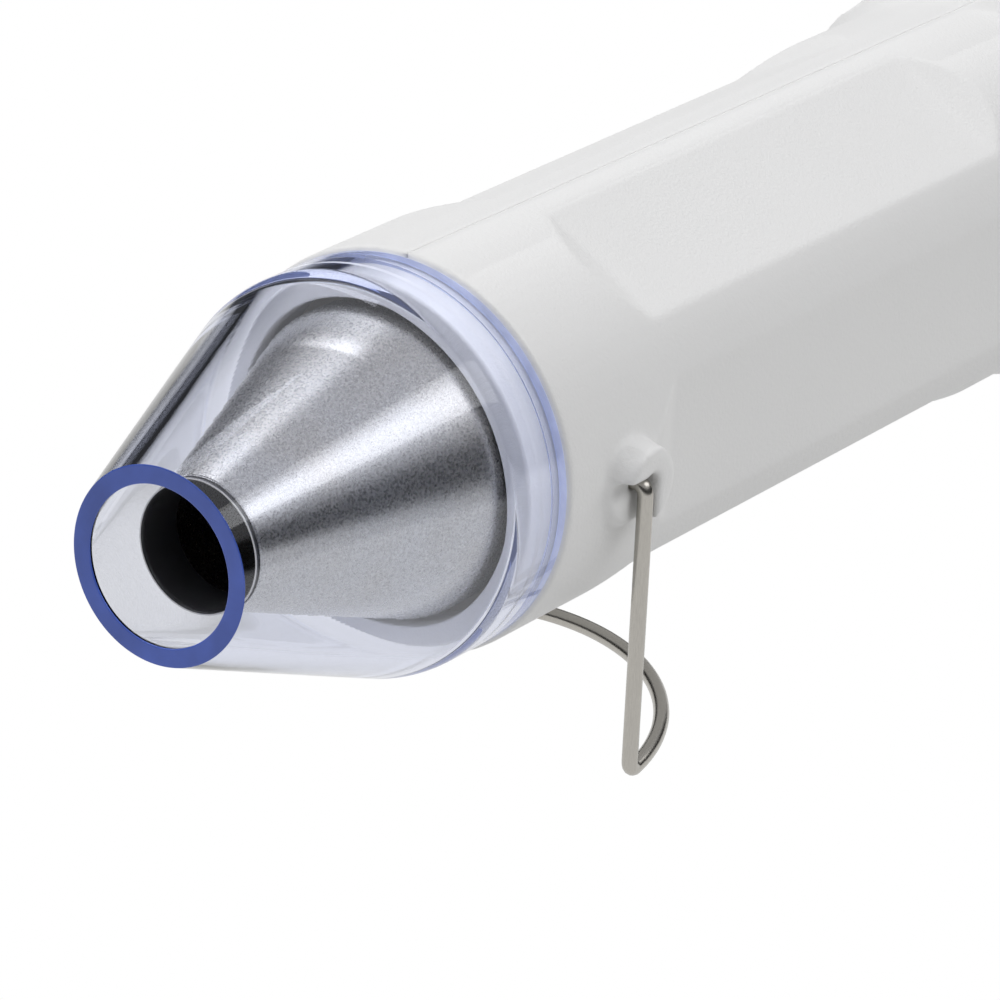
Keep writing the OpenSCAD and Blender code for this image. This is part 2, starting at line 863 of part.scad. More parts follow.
module motor_shaft() {
    color("silver")
        rod(shaft_r, fan_front - shaft_nose, motor_back + boss_len + shaft_tail);
}

// Ring round the motor with fins that stand in the shells and leave the air a way past
module motor_mount() {
    color("darkslategray") {
        ring(mount_r, mount_inside_r, mount_front, mount_back);
        for (i = [0:mount_fins - 1])
            rotate([0, 0, 180 / mount_fins + 360 * i / mount_fins]) {
                block([mount_r - mount_wall / 2, -mount_fin_t / 2, mount_front],
                    [cavity_r - fit, mount_fin_t / 2, mount_front + mount_fin_len]);
                block([mount_r - mount_wall / 2, -mount_fin_t / 2, mount_back - mount_fin_len],
                    [cavity_r - fit, mount_fin_t / 2, mount_back]);
            }
    }
}

// Two brass blades from the motor's end cap through the board
module motor_terminals() {
    color("gold")
        for (side = [-1, 1])
            block([-terminal_drop - terminal_t / 2, side * terminal_off - terminal_w / 2, motor_back],
                [-terminal_drop + terminal_t / 2, side * terminal_off + terminal_w / 2,
                    board_back + terminal_tail]);
}

module rectifier_board() {
    color("darkgreen")
        difference() {
            block([board_bottom_x, -board_w / 2, board_front], [board_top_x, board_w / 2, board_back]);
            for (side = [-1, 1])
                block([-terminal_drop - terminal_t / 2 - fit, side * terminal_off - terminal_w / 2 - fit,
                    board_front - over],
                    [-terminal_drop + terminal_t / 2 + fit, side * terminal_off + terminal_w / 2 + fit,
                    board_back + over]);
        }
}

// Four diodes that lie on the board, each with two bent leads
module rectifier_diodes() {
    diode_z = board_back + diode_r + fit;
    half = diode_len / 2;
    lead_half = half + lead_len;
    color("black")
        for (row = [0:diode_rows - 1])
            for (side = [-1, 1])
                translate([board_top_x - diode_inset - diode_pitch * row, side * diode_y, 0]) {
                    cross_rod(diode_r, 0, diode_z, -half, half);
                    cross_rod(lead_r, 0, diode_z, -lead_half, lead_half);
                    for (end = [-1, 1])
                        translate([0, end * (lead_half - lead_r), 0])
                            rod(lead_r - press, board_back, diode_z);
                }
}

// Switch housing with its flange on the land, open above for the rocker
module switch_body() {
    half_len = switch_len / 2;
    half_w = switch_w / 2;
    low = land_x - switch_depth;
    color("black")
        difference() {
            union() {
                block([land_x, -switch_flange_w / 2, switch_place - switch_flange_len / 2],
                    [land_x + flange_t, switch_flange_w / 2, switch_place + switch_flange_len / 2]);
                block([low, -half_w, switch_place - half_len], [land_x, half_w, switch_place + half_len]);
            }
            block([low + switch_floor, -half_w + switch_wall, switch_place - half_len + switch_wall],
                [land_x + flange_t + over, half_w - switch_wall, switch_place + half_len - switch_wall]);
            cross_rod(rocker_pin_r + rocker_pin_clear, rocker_pivot_x, switch_place,
                -half_w - over, half_w + over);
            for (side = [-1, 1])
                block([low - over, -switch_blade_w / 2 - fit,
                    switch_place + side * switch_blade_off - switch_blade_t / 2 - fit],
                    [low + switch_floor + over, switch_blade_w / 2 + fit,
                    switch_place + side * switch_blade_off + switch_blade_t / 2 + fit]);
        }
}

// Rocker at rest with its tail end down, on two pins
module switch_rocker() {
    half_w = switch_w / 2 - switch_wall - gap;
    pin_half = switch_w / 2 - fit;
    color("red")
        translate([rocker_pivot_x, 0, switch_place])
            rotate([0, -rocker_swing_deg, 0]) {
                rotate([90, 0, 0])
                    linear_extrude(height = 2 * half_w, center = true)
                        polygon([[rocker_top, -rocker_half], [rocker_dip, 0], [rocker_top, rocker_half],
                            [-rocker_shoulder, rocker_half], [-rocker_low, rocker_low_half],
                            [-rocker_low, -rocker_low_half], [-rocker_shoulder, -rocker_half]]);
                cross_rod(rocker_pin_r, 0, 0, -pin_half, pin_half);
            }
}

module switch_terminals() {
    low = land_x - switch_depth;
    color("gold")
        for (side = [-1, 1])
            block([low - switch_blade_out, -switch_blade_w / 2,
                switch_place + side * switch_blade_off - switch_blade_t / 2],
                [low + switch_floor, switch_blade_w / 2,
                switch_place + side * switch_blade_off + switch_blade_t / 2]);
}

// Round end cap with a spigot in the shells, air slots and the hole of the cord gland
module rear_cap() {
    hollow_r = spigot_r - spigot_wall;
    floor_z = tool_length - shell_wall;
    spigot_front = cap_front - spigot_len;
    color("white")
        difference() {
            turned(concat(
                [[hollow_r, spigot_front], [spigot_r, spigot_front], [spigot_r, catch_front - slide],
                    [spigot_r - catch_height, catch_front - slide],
                    [spigot_r - catch_height, catch_front + catch_t + slide],
                    [spigot_r, catch_front + catch_t + slide], [spigot_r, cap_front], [tail_r, cap_front]],
                arc(tail_r - tail_round, tool_length - tail_round, tail_round, 0, 90),
                [[gland_r + fit, tool_length], [gland_r + fit, floor_z],
                    [hollow_r - shell_wall, floor_z], [hollow_r, floor_z - shell_wall]]));
            above_land(land_x, cap_front);
            block([land_inside_x - fit, -tail_r, spigot_front - over], [tail_d, tail_r, cap_front]);
            for (i = [0:cap_slot_count - 1])
                rotate([0, 0, 360 * (i + 1 / 2) / cap_slot_count])
                    block([slot_inner_r, -slot_w / 2, floor_z - over],
                        [slot_outer_r, slot_w / 2, tool_length + over]);
        }
}

// Rubber bush of the cord inlet, with a flange on each side of the cap's wall
module cord_gland() {
    bore = cord_bore_d / 2;
    back = tool_length + gland_flange;
    floor_z = tool_length - shell_wall - slide;
    color("black")
        turned([[bore, floor_z - gland_flange], [gland_flange_r, floor_z - gland_flange],
            [gland_flange_r, floor_z], [gland_r, floor_z], [gland_r, tool_length],
            [gland_flange_r, tool_length], [gland_flange_r, back], [bore, back]]);
}

// Four screws from the right side, each with a cross recess in its head
module shell_screws() {
    color("silver")
        mirror([0, 1, 0])
            screw_places()
                difference() {
                    union() {
                        cross_rod(screw_r, 0, 0, -screw_grip, screw_seat);
                        cross_rod(screw_head_r, 0, 0, screw_seat, screw_seat + screw_head_len);
                    }
                    for (turn = [0, 90])
                        rotate([0, turn, 0])
                            block([-screw_r, screw_seat + screw_head_len / 2, -screw_recess_w / 2],
                                [screw_r, screw_seat + screw_head_len + over, screw_recess_w / 2]);
                }
}

// Round wire bent about z, from the x axis through an angle
module wire_turn(radius, angle) {
    rotate_extrude(angle = angle)
        translate([radius, 0])
            circle(r = wire_r);
}

// Ball that joins two stretches of the wire, with its poles on the wire's line
module wire_joint(turn) {
    rotate(turn)
        sphere(r = wire_r + press);
}

// One side of the stand, hung from its pivot: pin, upper bend, leg and foot bend
module stand_side() {
    cross_rod(wire_r, 0, 0, pin_end, leg_y - wire_bend_r);
    translate([0, leg_y - wire_bend_r, 0])
        wire_joint([90, 0, 0]);
    translate([-wire_bend_r, leg_y - wire_bend_r, 0])
        wire_turn(wire_bend_r, 90);
    translate([-wire_bend_r, leg_y, 0])
        wire_joint([0, 90, 0]);
    translate([-leg_end, leg_y, 0]) {
        wire_joint([0, 90, 0]);
        rotate([0, 90, 0])
            cylinder(h = leg_end - wire_bend_r, r = wire_r);
        rotate([foot_plane_deg - 90, 0, 0])
            rotate([0, 0, 90])
                translate([-wire_bend_r, 0, 0])
                    wire_turn(wire_bend_r, foot_bend_deg);
    }
}

// Wire stand: two sides joined by an arc that bulges towards the tail
module stand_wire() {
    color("darkgray")
        translate([0, 0, lug_z])
            rotate([0, leg_lean_deg, 0]) {
                stand_side();
                mirror([0, 1, 0])
                    stand_side();
                translate([-leg_len, 0, 0])
                    rotate([0, foot_turn_deg - 180, 0])
                        translate([foot_run * cos(foot_toe_deg) - arc_r * sin(foot_toe_deg), 0, 0])
                            rotate([0, 0, foot_toe_deg - 90]) {
                                rotate([0, 0, join_deg])
                                    wire_turn(arc_r, arc_deg - 2 * join_deg);
                                for (turn = [0, arc_deg])
                                    rotate([0, 0, turn])
                                        translate([arc_r, 0, 0])
                                            wire_joint([90, 0, 0]);
                            }
            }
}

laid_down() left_shell();
laid_down() right_shell();
laid_down() nozzle_guard();
laid_down() nozzle_cone();
laid_down() nozzle_tip();
laid_down() heater_barrel();
laid_down() barrel_ring_front();
laid_down() barrel_ring_rear();
laid_down() mica_sleeve();
laid_down() mica_cross();
laid_down() heater_coil();
laid_down() thermal_cutout();
laid_down() thermal_fuse();
laid_down() air_guide();
laid_down() fan();
laid_down() motor_can();
laid_down() motor_endcap();
laid_down() motor_bearings();
laid_down() motor_magnets();
laid_down() motor_armature();
laid_down() motor_shaft();
laid_down() motor_mount();
laid_down() motor_terminals();
laid_down() rectifier_board();
laid_down() rectifier_diodes();
laid_down() switch_body();
laid_down() switch_rocker();
laid_down() switch_terminals();
laid_down() rear_cap();
laid_down() cord_gland();
laid_down() shell_screws();
laid_down() stand_wire();
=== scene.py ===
"""Looks of an embossing heat tool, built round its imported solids."""

import json
import math

import bpy
from bpy.props import FloatProperty, FloatVectorProperty, IntProperty, PointerProperty
from bpy.types import Operator, Panel, PropertyGroup
from mathutils import Matrix, Vector


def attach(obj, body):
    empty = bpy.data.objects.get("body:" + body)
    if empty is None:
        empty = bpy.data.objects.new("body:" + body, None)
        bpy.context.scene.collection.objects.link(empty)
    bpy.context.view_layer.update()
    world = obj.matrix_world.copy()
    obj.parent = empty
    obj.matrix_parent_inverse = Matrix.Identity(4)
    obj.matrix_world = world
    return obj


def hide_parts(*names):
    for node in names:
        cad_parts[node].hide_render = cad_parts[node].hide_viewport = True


bl_info = {
    "name": "Embossing heat tool",
    "version": (1, 0, 0),
    "blender": (4, 5, 0),
    "location": "View3D > Sidebar > Heat Tool",
    "description": "Builds the visible pieces of an embossing heat tool round its solids",
    "category": "Object",
}

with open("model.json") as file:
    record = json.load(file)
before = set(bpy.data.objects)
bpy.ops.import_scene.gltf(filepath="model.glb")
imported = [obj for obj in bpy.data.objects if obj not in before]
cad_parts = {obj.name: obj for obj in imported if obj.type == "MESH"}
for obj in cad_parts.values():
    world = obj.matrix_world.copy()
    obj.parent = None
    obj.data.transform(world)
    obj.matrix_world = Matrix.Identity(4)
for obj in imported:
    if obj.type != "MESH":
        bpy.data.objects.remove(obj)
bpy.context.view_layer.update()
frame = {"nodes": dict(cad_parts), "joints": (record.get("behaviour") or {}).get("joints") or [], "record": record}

MM = 0.001
MERGE_WITHIN = MM / 1000
FLAT_WITHIN_DEG = 1
EDGE_OVER_DEG = 15
ROCKER_REST_DEG = 8

# The bench frame: z runs from the guard's mouth to the tail along the axis that the rotor turns on,
# x points to the top of the tool and y to its left side. The record's air outlet lies a little way
# behind the mouth.
joints = {joint["name"]: joint for joint in frame["joints"]}
outlet = next(mount for mount in frame["record"]["mounts"] if mount["name"] == "air_outlet")
NOSEWARD = Vector(joints["rotor_spin"]["axis"]).normalized()
OUTLET_BEHIND_MOUTH = 9.45 * MM
NOSE = Vector(outlet["pos_m"]) + NOSEWARD * OUTLET_BEHIND_MOUTH
TOPWARD = Vector((-NOSEWARD.z, 0, NOSEWARD.x))
LEFTWARD = Vector((0, 1, 0))
BENCH = Matrix((
    (TOPWARD.x, 0, -NOSEWARD.x, NOSE.x),
    (0, 1, 0, NOSE.y),
    (TOPWARD.z, 0, -NOSEWARD.z, NOSE.z),
    (0, 0, 0, 1),
))
STAND_PIVOT = BENCH.inverted() @ Vector(joints["stand_hinge"]["pos_m"])
ROCKER_PIVOT = BENCH.inverted() @ Vector(joints["rocker_hinge"]["pos_m"])


class HeatToolSettings(PropertyGroup):
    """Sizes and colours that a user would change."""

    body_colour: FloatVectorProperty(
        name="Body colour", description="Colour of the moulded shells", subtype="COLOR",
        size=3, min=0, max=1, default=(0.84, 0.84, 0.835))
    grain_size: FloatProperty(
        name="Grain size", description="Size of the fine grain on the shells", unit="LENGTH",
        default=0.42 * MM, min=0.1 * MM, max=2 * MM)
    guard_tint: FloatVectorProperty(
        name="Guard tint", description="Colour that light takes on in the clear guard", subtype="COLOR",
        size=3, min=0, max=1, default=(0.06, 0.22, 0.78))
    guard_density: FloatProperty(
        name="Guard density", description="How fast the guard tints light, per metre",
        default=42, min=0, max=1000)
    # The cut edges' deep blue, which the edge faces also glow with as painted light.
    edge_glow_colour: FloatVectorProperty(
        name="Guard edge", description="Colour that the guard's cut edges gather", subtype="COLOR",
        size=3, min=0, max=1, default=(0.052, 0.098, 0.40))
    steel_colour: FloatVectorProperty(
        name="Steel colour", description="Colour of the nozzle's drawn steel", subtype="COLOR",
        size=3, min=0, max=1, default=(0.65, 0.65, 0.64))
    wire_colour: FloatVectorProperty(
        name="Wire colour", description="Colour of the stand's wire", subtype="COLOR",
        size=3, min=0, max=1, default=(0.51, 0.49, 0.45))
    voxel_size: FloatProperty(
        name="Shell voxel", description="Voxel that the moulded shells are remeshed at", unit="LENGTH",
        default=0.45 * MM, min=0.2 * MM, max=2 * MM)
    turn_steps: IntProperty(
        name="Turn steps", description="Steps round a turned piece", default=192, min=24, max=512)
    key_power: FloatProperty(
        name="Key light", description="Power of the long softbox that shines in the steel", unit="POWER",
        default=3.1, min=0, max=100)
    fill_power: FloatProperty(
        name="Fill light", description="Power of the large softbox at the upper right", unit="POWER",
        default=14.7, min=0, max=100)
    side_power: FloatProperty(
        name="Side light", description="Power of the soft light on the body from the upper left",
        unit="POWER", default=6.8, min=0, max=100)
    sky_strength: FloatProperty(
        name="Sky light", description="Strength of the studio's pale ceiling", default=1.0, min=0, max=5)
    floor_strength: FloatProperty(
        name="Floor light", description="Light that the floor throws up, as a share of its white",
        default=0.60, min=0, max=1)


def settings():
    return bpy.context.scene.heat_tool


# Drawing on the bench


def clear_selection():
    """Leaves edit mode and selects nothing."""
    if bpy.context.object and bpy.context.object.mode != "OBJECT":
        bpy.ops.object.mode_set(mode="OBJECT")
    bpy.ops.object.select_all(action="DESELECT")


def pick(piece):
    """Makes one piece the only selected and active one."""
    clear_selection()
    piece.select_set(True)
    bpy.context.view_layer.objects.active = piece


def corner_arc(before, corner, after, radius, steps=6):
    """Points of the rounding of one corner, in two or three dimensions."""
    to_before = (before - corner).normalized()
    to_after = (after - corner).normalized()
    half = to_before.angle(to_after) / 2
    run = radius / math.tan(half)
    centre = corner + (to_before + to_after).normalized() * (radius / math.sin(half))
    start = corner + to_before * run - centre
    end = corner + to_after * run - centre
    swing = start.angle(end)
    points = []
    for step in range(steps + 1):
        share = step / steps
        weights = (math.sin((1 - share) * swing), math.sin(share * swing))
        points.append(centre + (start * weights[0] + end * weights[1]) / math.sin(swing))
    return points


def rounded(corners, closed=True):
    """An outline from (point, radius) corners, with each corner that has a radius rounded."""
    count = len(corners)
    outline = []
    for index, (corner, radius) in enumerate(corners):
        inner = closed or 0 < index < count - 1
        if radius and inner:
            before = corners[index - 1][0]
            after = corners[(index + 1) % count][0]
            outline += corner_arc(before, corner, after, radius)
        else:
            outline.append(corner)
    return outline


def profile(*corners):
    """Points on the bench for a turned piece's corners, each (radius, place, rounding) in millimetres."""
    return rounded([(Vector((r * MM, 0, z * MM)), rounding * MM) for r, z, rounding in corners])


def drawn_line(name, points, closed):
    """A line of edges, extruded point by point from a plane that is merged to its centre."""
    clear_selection()
    bpy.ops.mesh.primitive_plane_add(size=MM, location=(0, 0, 0))
    piece = bpy.context.object
    piece.name = name
    bpy.ops.object.mode_set(mode="EDIT")
    bpy.ops.mesh.select_all(action="SELECT")
    bpy.ops.mesh.merge(type="CENTER")
    bpy.ops.transform.translate(value=points[0])
    route = points + points[:1] if closed else points
    for here, there in zip(route, route[1:]):
        bpy.ops.mesh.extrude_region_move(TRANSFORM_OT_translate={"value": there - here})
    bpy.ops.mesh.select_all(action="SELECT")
    if closed:
        bpy.ops.mesh.remove_doubles(threshold=MERGE_WITHIN / 10)
    return piece


def closed_up():
    """Merges doubles and points all faces outwards, in edit mode."""
    bpy.ops.mesh.select_all(action="SELECT")
    bpy.ops.mesh.remove_doubles(threshold=MERGE_WITHIN)
    bpy.ops.mesh.normals_make_consistent(inside=False)
    bpy.ops.object.mode_set(mode="OBJECT")


def turned(name, outline, steps=None):
    """A solid of revolution from an outline, spun round the tool's axis."""
    piece = drawn_line(name, outline, closed=True)
    bpy.ops.mesh.spin(
        steps=steps or settings().turn_steps, angle=math.tau, center=(0, 0, 0), axis=(0, 0, 1))
    closed_up()
    return piece


def laid_down(piece, smooth_deg=32):
    """Moves a piece from the bench to where the tool rests on its stand, with its place in its mesh."""
    pick(piece)
    piece.matrix_world = BENCH @ piece.matrix_world
    bpy.ops.object.transform_apply(location=True, rotation=True, scale=True)
    bpy.ops.object.shade_smooth_by_angle(angle=math.radians(smooth_deg))
    apply_modifier(piece, "WEIGHTED_NORMAL", weight=100, keep_sharp=True)
    return piece


def dress(piece, material, body, slot, *nodes):
    """Gives a finished piece its material and its body and hides the nodes that it stands for; its slot is not
    used.
    """
    piece.data.materials.clear()
    piece.data.materials.append(material)
    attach(piece, body)
    if nodes:
        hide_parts(*nodes)
    return piece


def apply_modifier(piece, kind, **values):
    """Adds one modifier with its values and applies it."""
    pick(piece)
    modifier = piece.modifiers.new(kind.title(), kind)
    for key, value in values.items():
        setattr(modifier, key, value)
    bpy.ops.object.modifier_apply(modifier=modifier.name)


def benched(node, name):
    """A copy of a solid on the bench, merged and left in edit mode."""
    piece = bpy.data.objects.new(name, frame["nodes"][node].data.copy())
    bpy.context.scene.collection.objects.link(piece)
    pick(piece)
    piece.matrix_world = BENCH.inverted()
    bpy.ops.object.transform_apply(location=True, rotation=True, scale=True)
    bpy.ops.object.mode_set(mode="EDIT")
    bpy.ops.mesh.select_all(action="SELECT")
    bpy.ops.mesh.remove_doubles(threshold=MERGE_WITHIN)
    return piece


def moulded(piece, soft_passes=3, kept_share=0.52):
    """Gives a bench copy soft edges, with its seam and panels along the voxels of the bench."""
    bpy.ops.object.mode_set(mode="OBJECT")
    apply_modifier(piece, "REMESH", mode="VOXEL", voxel_size=settings().voxel_size)
    apply_modifier(piece, "SMOOTH", factor=0.5, iterations=soft_passes)
    apply_modifier(piece, "DECIMATE", ratio=kept_share)
    return laid_down(piece, 80)


def edges_broken(node, name, width, steps=3):
    """A copy of a solid with its edges broken by a small bevel."""
    piece = benched(node, name)
    bpy.ops.mesh.select_all(action="SELECT")
    bpy.ops.mesh.dissolve_limited(angle_limit=math.radians(FLAT_WITHIN_DEG))
    bpy.ops.object.mode_set(mode="OBJECT")
    apply_modifier(
        piece, "BEVEL", width=width, segments=steps, limit_method="ANGLE",
        angle_limit=math.radians(EDGE_OVER_DEG))
    return laid_down(piece, 40)


# Materials


class Surface:
    """A material with its shader, and short ways to add texture nodes on object coordinates."""

    def __init__(self, name, colour, roughness, metallic=0.0):
        self.material = bpy.data.materials.new(name)
        self.material.use_nodes = True
        self.tree = self.material.node_tree
        self.shader = self.tree.nodes["Principled BSDF"]
        self.output = self.tree.nodes["Material Output"]
        self.shader.inputs["Base Color"].default_value = (*colour, 1)
        self.shader.inputs["Roughness"].default_value = roughness
        self.shader.inputs["Metallic"].default_value = metallic
        self.coordinates = self.tree.nodes.new("ShaderNodeTexCoord").outputs["Object"]

    def node(self, kind, **values):
        made = self.tree.nodes.new(kind)
        for key, value in values.items():
            setattr(made, key, value)
        return made

    def link(self, output, socket):
        self.tree.links.new(output, socket)

    def stretched(self, scale):
        """Object coordinates with the grain stretched along one direction."""
        mapping = self.node("ShaderNodeMapping")
        mapping.inputs["Scale"].default_value = scale
        self.link(self.coordinates, mapping.inputs["Vector"])
        return mapping.outputs["Vector"]

    def noise(self, size, detail=2.0, roughness=0.5, vector=None):
        """Noise whose features have a size in metres."""
        texture = self.node("ShaderNodeTexNoise")
        texture.inputs["Scale"].default_value = 1 / size
        texture.inputs["Detail"].default_value = detail
        texture.inputs["Roughness"].default_value = roughness
        self.link(vector or self.coordinates, texture.inputs["Vector"])
        return texture.outputs["Fac"]

    def ramp(self, factor, *stops):
        """A colour ramp through (place, colour) stops."""
        ramp = self.node("ShaderNodeValToRGB")
        elements = ramp.color_ramp.elements
        while len(elements) < len(stops):
            elements.new(0.5)
        for element, (place, colour) in zip(elements, stops):
            element.position = place
            element.color = (*colour, 1)
        self.link(factor, ramp.inputs["Fac"])
        return ramp.outputs["Color"]

    def span(self, factor, low, high, low_in=0.3, high_in=0.7):
        """A value stretched from one range to another."""
        mapper = self.node("ShaderNodeMapRange")
        mapper.inputs["From Min"].default_value = low_in
        mapper.inputs["From Max"].default_value = high_in
        mapper.inputs["To Min"].default_value = low
        mapper.inputs["To Max"].default_value = high
        self.link(factor, mapper.inputs["Value"])
        return mapper.outputs["Result"]

    def either(self, switch, usual, value):
        """A value where the switch is 1, and an output elsewhere."""
        mixer = self.node("ShaderNodeMix")
        self.link(switch, mixer.inputs[0])
        self.link(usual, mixer.inputs[2])
        mixer.inputs[3].default_value = value
        return mixer.outputs[0]

    def clouds(self, size, colour):
        """Tints the base colour in soft patches."""
        base = self.shader.inputs["Base Color"]
        mixer = self.node("ShaderNodeMix", data_type="RGBA", blend_type="MULTIPLY")
        self.link(self.span(self.noise(size, detail=1.0), 0, 1), mixer.inputs[0])
        self.link(base.links[0].from_socket, mixer.inputs[6])
        mixer.inputs[7].default_value = (*colour, 1)
        self.link(mixer.outputs[2], base)

    def tone(self, factor, dark, light, low_in=0.3, high_in=0.7):
        """Colours the surface from dark to light with a factor."""
        colour = self.ramp(factor, (low_in, dark), (high_in, light))
        self.link(colour, self.shader.inputs["Base Color"])

    def gloss(self, factor, low, high):
        """Varies the roughness with a factor."""
        self.link(self.span(factor, low, high), self.shader.inputs["Roughness"])

    def bump(self, height, depth, strength):
        """Raises the surface by a height from 0 to 1 times a depth in metres."""
        bump = self.node("ShaderNodeBump")
        bump.inputs["Strength"].default_value = strength
        bump.inputs["Distance"].default_value = depth
        self.link(height, bump.inputs["Height"])
        self.link(bump.outputs["Normal"], self.shader.inputs["Normal"])


def shaded(colour, share):
    """A colour times a share."""
    return tuple(channel * share for channel in colour)


def moulded_white():
    """Off-white plastic with a fine spark-eroded grain."""
    colour = settings().body_colour
    surface = Surface("body_white", colour, 0.48)
    grain = surface.noise(settings().grain_size, detail=2.5, roughness=0.6)
    surface.tone(surface.noise(30 * MM), shaded(colour, 0.985), colour)
    surface.gloss(grain, 0.42, 0.56)
    surface.bump(grain, 0.07 * MM, strength=1.0)
    surface.shader.inputs["Specular IOR Level"].default_value = 0.5
    return surface.material


def clear_tinted():
    """Clear polycarbonate, tinted in its depth, with faint flow lines, which lets the lamps through."""
    surface = Surface("guard_clear", (1.0, 1.0, 1.0), 0.0)
    surface.shader.inputs["IOR"].default_value = 1.5
    surface.shader.inputs["Transmission Weight"].default_value = 1.0
    along = (0.25, 1, 1)
    ripple = surface.noise(12 * MM, detail=1.0, vector=surface.stretched(along))
    surface.bump(ripple, 0.2 * MM, strength=0.3)
    absorption = surface.node("ShaderNodeVolumeAbsorption")
    absorption.inputs["Color"].default_value = (*settings().guard_tint, 1)
    absorption.inputs["Density"].default_value = settings().guard_density
    surface.link(absorption.outputs["Volume"], surface.output.inputs["Volume"])
    lamp_way = surface.node("ShaderNodeBsdfTransparent")
    lamp_way.inputs["Color"].default_value = (0.97, 0.975, 1.0, 1)
    path = surface.node("ShaderNodeLightPath")
    mix = surface.node("ShaderNodeMixShader")
    surface.link(path.outputs["Is Shadow Ray"], mix.inputs["Fac"])
    surface.link(surface.shader.outputs["BSDF"], mix.inputs[1])
    surface.link(lamp_way.outputs["BSDF"], mix.inputs[2])
    surface.link(mix.outputs["Shader"], surface.output.inputs["Surface"])
    return surface.material


def painted_glow_edge(name, colour):
    """A cut edge of the tinted wall: its own deep blue, with a painted glow that stands in for the light its whole
    depth carries to it.
    """
    surface = Surface(name, colour, 0.12)
    drift = surface.noise(6 * MM, detail=3.0)
    surface.tone(drift, shaded(colour, 0.62), shaded(colour, 1.1))
    # Painted glow: this emission stands in for light that the wall carries to its cut edge; the face is no lamp.
    surface.shader.inputs["Emission Color"].default_value = (*colour, 1)
    surface.shader.inputs["Emission Strength"].default_value = 0.25
    return surface.material


def drawn_steel():
    """Satin sheet steel with a fine mottle, slightly browned by heat in soft patches."""
    colour = settings().steel_colour
    surface = Surface("nozzle_steel", colour, 0.3, metallic=1.0)
    mottle = surface.noise(0.30 * MM, detail=2.0, roughness=0.6)
    surface.tone(mottle, shaded(colour, 0.72), shaded(colour, 1.08), 0.28, 0.72)
    surface.clouds(9 * MM, (0.96, 0.94, 0.91))
    surface.gloss(mottle, 0.24, 0.32)
    surface.bump(mottle, 0.012 * MM, strength=0.6)
    return surface.material


def metal(name, colour, roughness, brush=(1.0, 1.0, 1.0), size=0.6 * MM, contrast=0.12):
    """Metal with a fine brushed or cast grain."""
    surface = Surface(name, colour, roughness, metallic=1.0)
    grain = surface.noise(size, detail=3.0, vector=surface.stretched(brush))
    surface.tone(grain, shaded(colour, 1 - contrast), colour)
    surface.gloss(grain, roughness * (1 - contrast), roughness * (1 + contrast))
    surface.bump(grain, 0.01 * MM, strength=0.5)
    return surface.material


def plastic(name, colour, roughness, size=0.5 * MM, depth=0.02 * MM, contrast=0.08):
    """Moulded plastic, board or rubber with a fine grain."""
    surface = Surface(name, colour, roughness)
    grain = surface.noise(size, detail=2.0, roughness=0.6)
    surface.tone(surface.noise(20 * size), shaded(colour, 1 - contrast), colour)
    surface.gloss(grain, roughness * (1 - contrast), roughness * (1 + contrast))
    surface.bump(grain, depth, strength=0.6)
    return surface.material


def inner_materials():
    """Materials of the pieces inside, by the record's slots."""
    along = (1.0, 8.0, 8.0)
    return {
        "barrel_steel": metal("barrel_steel", (0.58, 0.57, 0.54), 0.32, brush=along),
        "ring_board": plastic("ring_board", (0.74, 0.69, 0.58), 0.7, size=0.8 * MM, contrast=0.2),
        "mica": plastic("mica", (0.62, 0.52, 0.36), 0.35, size=1.5 * MM, contrast=0.25),
        "coil_wire": metal("coil_wire", (0.22, 0.19, 0.17), 0.45, brush=(12.0, 1.0, 1.0)),
        "cutout_metal": metal("cutout_metal", (0.62, 0.62, 0.62), 0.38),
        "fuse_metal": metal("fuse_metal", (0.72, 0.60, 0.34), 0.3),
        "guide_plastic": plastic("guide_plastic", (0.035, 0.038, 0.042), 0.45),
        "fan_plastic": plastic("fan_plastic", (0.06, 0.06, 0.065), 0.4),
        "motor_steel": metal("motor_steel", (0.60, 0.60, 0.60), 0.28, brush=along),
        "motor_plastic": plastic("motor_plastic", (0.02, 0.02, 0.02), 0.4),
        "bush_bronze": metal("bush_bronze", (0.45, 0.29, 0.14), 0.42, size=0.2 * MM),
        "magnet": plastic("magnet", (0.05, 0.05, 0.052), 0.55, size=0.3 * MM),
        "armature": metal("armature", (0.48, 0.20, 0.09), 0.35, brush=(0.5, 6.0, 6.0)),
        "shaft_steel": metal("shaft_steel", (0.66, 0.66, 0.67), 0.2, brush=along),
        "terminal_brass": metal("terminal_brass", (0.66, 0.50, 0.22), 0.3),
        "board_green": plastic("board_green", (0.02, 0.10, 0.035), 0.4, size=1 * MM, contrast=0.15),
        "diode_black": plastic("diode_black", (0.015, 0.015, 0.016), 0.3),
    }


# Pieces


